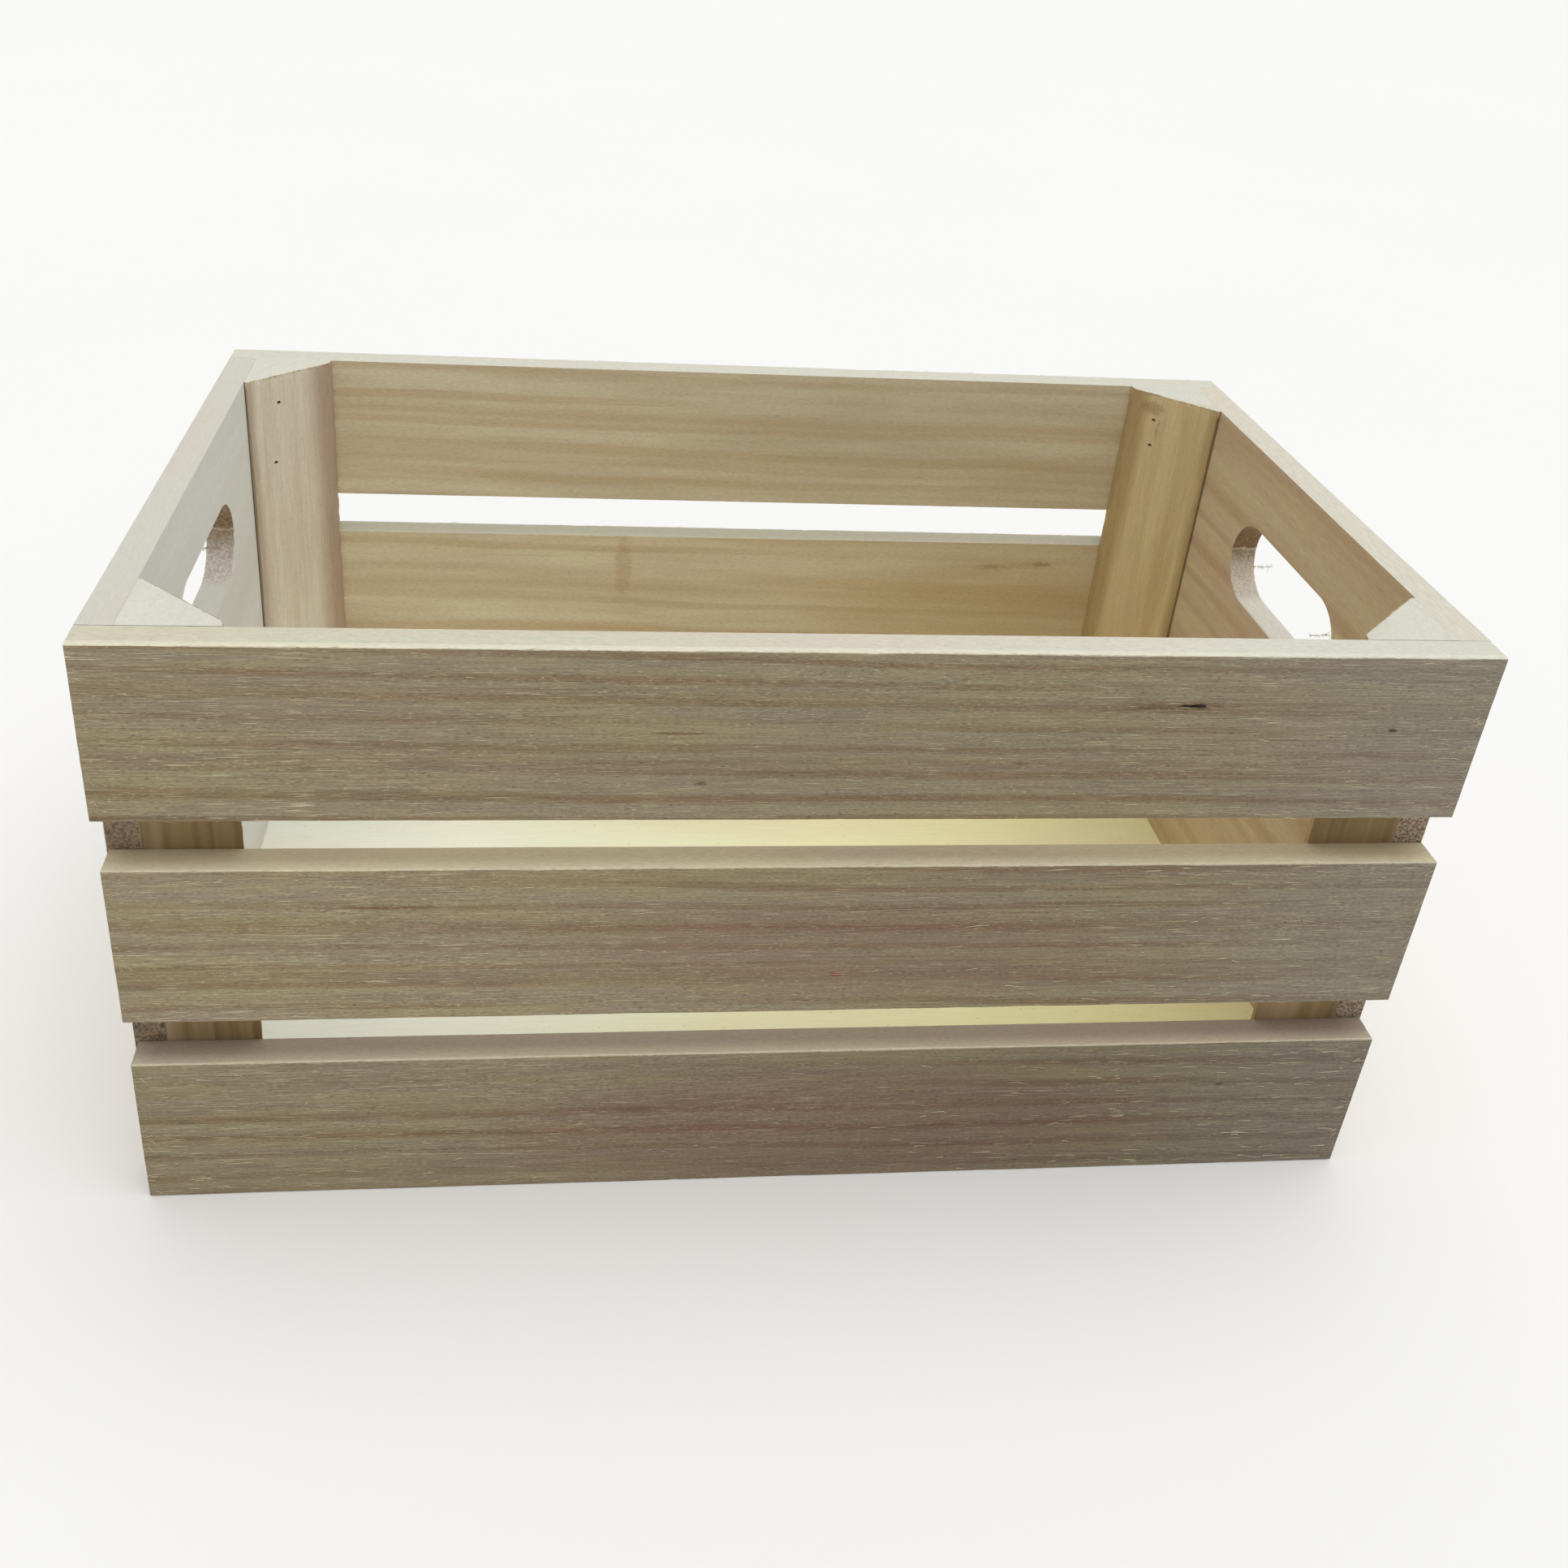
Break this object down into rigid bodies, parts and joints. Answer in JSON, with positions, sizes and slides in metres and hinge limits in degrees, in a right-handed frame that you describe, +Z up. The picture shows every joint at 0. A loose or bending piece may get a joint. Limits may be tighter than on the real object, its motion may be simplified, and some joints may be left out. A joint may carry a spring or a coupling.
{
  "type": "wooden apple crate",
  "caption": "Open-topped slatted wooden crate with solid end panels, stadium-shaped hand-holes, triangular corner posts and a thin panel floor.",
  "frame": {"origin": "centre of the base, on the plane the crate stands on", "axes": "+X along the slats to the right, +Y to the back, +Z up through the open top"},
  "size_m": [0.4, 0.225, 0.205],
  "materials": {
    "slat_wood": "bare rough-sawn pale wood, fine fibrous grain along the slat",
    "end_panel_wood": "bare planed pale wood, soft brown bands along the width",
    "post_wood": "bare sawn wood, upright grain",
    "floor_plywood": "smooth pale cream plywood",
    "brad_steel": "dull plain steel"
  },
  "bodies": {
    "root": {"slat_front_bottom": "slat_wood", "slat_front_middle": "slat_wood", "slat_front_top": "slat_wood", "slat_back_bottom": "slat_wood", "slat_back_middle": "slat_wood", "slat_back_top": "slat_wood", "end_panel_left": "end_panel_wood", "end_panel_right": "end_panel_wood", "corner_post_front_left": "post_wood", "corner_post_front_right": "post_wood", "corner_post_back_left": "post_wood", "corner_post_back_right": "post_wood", "floor_panel": "floor_plywood", "brad_front_left_bottom_1": "brad_steel", "brad_front_left_bottom_2": "brad_steel", "brad_front_left_top_1": "brad_steel", "brad_front_left_top_2": "brad_steel", "brad_front_left_end_1": "brad_steel", "brad_front_left_end_2": "brad_steel", "brad_front_right_bottom_1": "brad_steel", "brad_front_right_bottom_2": "brad_steel", "brad_front_right_top_1": "brad_steel", "brad_front_right_top_2": "brad_steel", "brad_front_right_end_1": "brad_steel", "brad_front_right_end_2": "brad_steel", "brad_back_left_bottom_1": "brad_steel", "brad_back_left_bottom_2": "brad_steel", "brad_back_left_top_1": "brad_steel", "brad_back_left_top_2": "brad_steel", "brad_back_left_end_1": "brad_steel", "brad_back_left_end_2": "brad_steel", "brad_back_right_bottom_1": "brad_steel", "brad_back_right_bottom_2": "brad_steel", "brad_back_right_top_1": "brad_steel", "brad_back_right_top_2": "brad_steel", "brad_back_right_end_1": "brad_steel", "brad_back_right_end_2": "brad_steel"}
  },
  "joints": []
}
